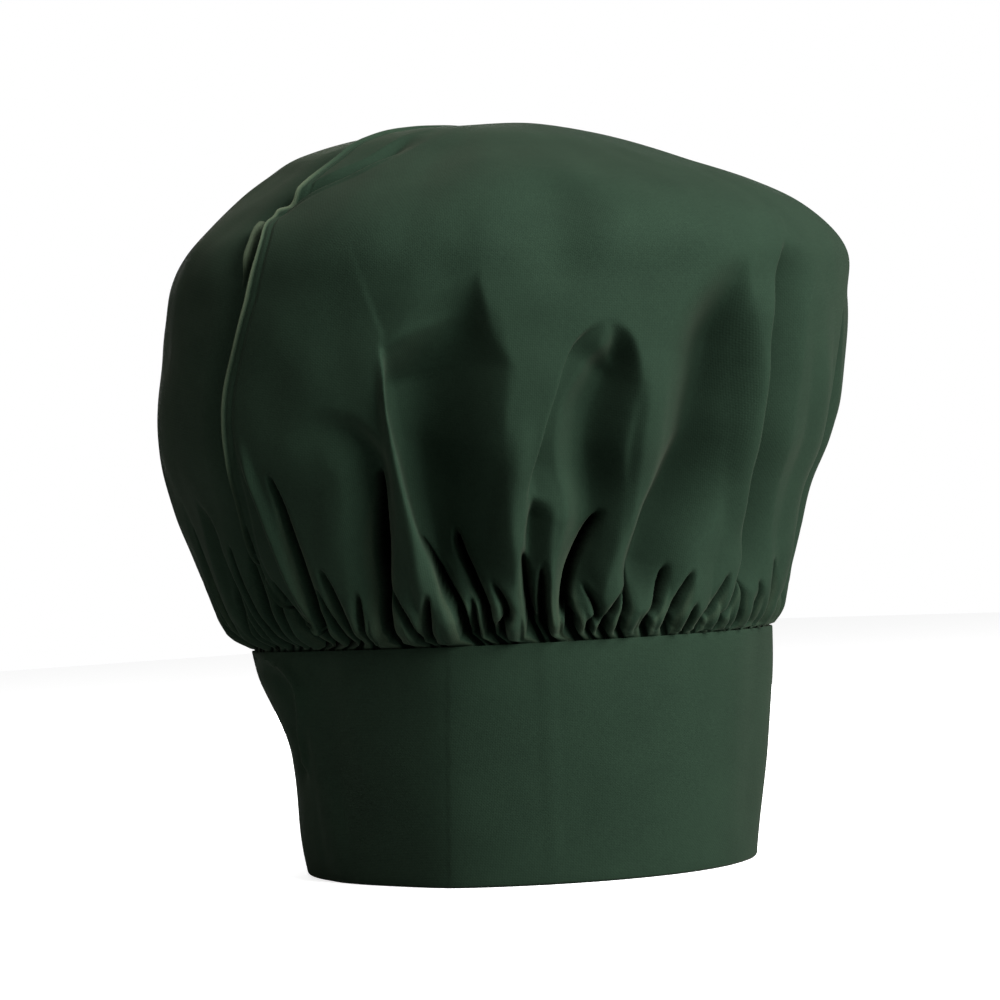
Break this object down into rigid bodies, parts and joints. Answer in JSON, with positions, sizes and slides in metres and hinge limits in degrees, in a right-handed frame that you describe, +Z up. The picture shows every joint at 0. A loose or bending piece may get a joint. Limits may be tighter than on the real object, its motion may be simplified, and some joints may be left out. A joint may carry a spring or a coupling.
{
  "type": "chef hat",
  "caption": "Floppy chef hat: soft puffed crown gathered into a tall stiffened headband with a hook-and-loop tab at the back.",
  "frame": {"origin": "on the plane of the headband's folded lower edge, under the middle of the hat", "axes": "+Z up through the crown; -Y is the front of the hat, +Y the closure at the back; the crown's side seams are at -X and +X"},
  "size_m": [0.2822, 0.2702, 0.2963],
  "materials": {
    "green_twill": "matte fine poly-cotton twill",
    "white_interfacing": "matte non-woven",
    "loop_pile": "brushed pile",
    "hook_nylon": "moulded nylon hooks",
    "green_thread": "polyester thread",
    "white_label": "plain woven satin"
  },
  "bodies": {
    "hat": {"crown_front_panel": "green_twill", "crown_back_panel": "green_twill", "crown_seam_allowance": "green_twill", "slit_bar_tack": "green_thread", "headband_shell": "green_twill", "headband_interfacing": "white_interfacing", "gather_stitching": "green_thread", "loop_tape": "loop_pile", "loop_tape_stitching": "green_thread", "care_label_stitching": "green_thread"},
    "tab": {"closure_tab_shell": "green_twill", "closure_tab_interfacing": "white_interfacing", "hook_tape": "hook_nylon", "hook_tape_stitching": "green_thread", "tab_end_stitching": "green_thread"},
    "label": {"care_label": "white_label"}
  },
  "joints": [
    {"name": "tab_peel", "type": "hinge", "parent": "hat", "child": "tab", "pos_m": [-0.0002, 0.0989, 0], "axis": [0, -0.0278, -0.9996], "range_deg": [0, 100]},
    {"name": "label_swing", "type": "hinge", "parent": "hat", "child": "label", "pos_m": [0.09036, 0, 0.082], "axis": [0, 1, 0], "range_deg": [0, 90]}
  ]
}
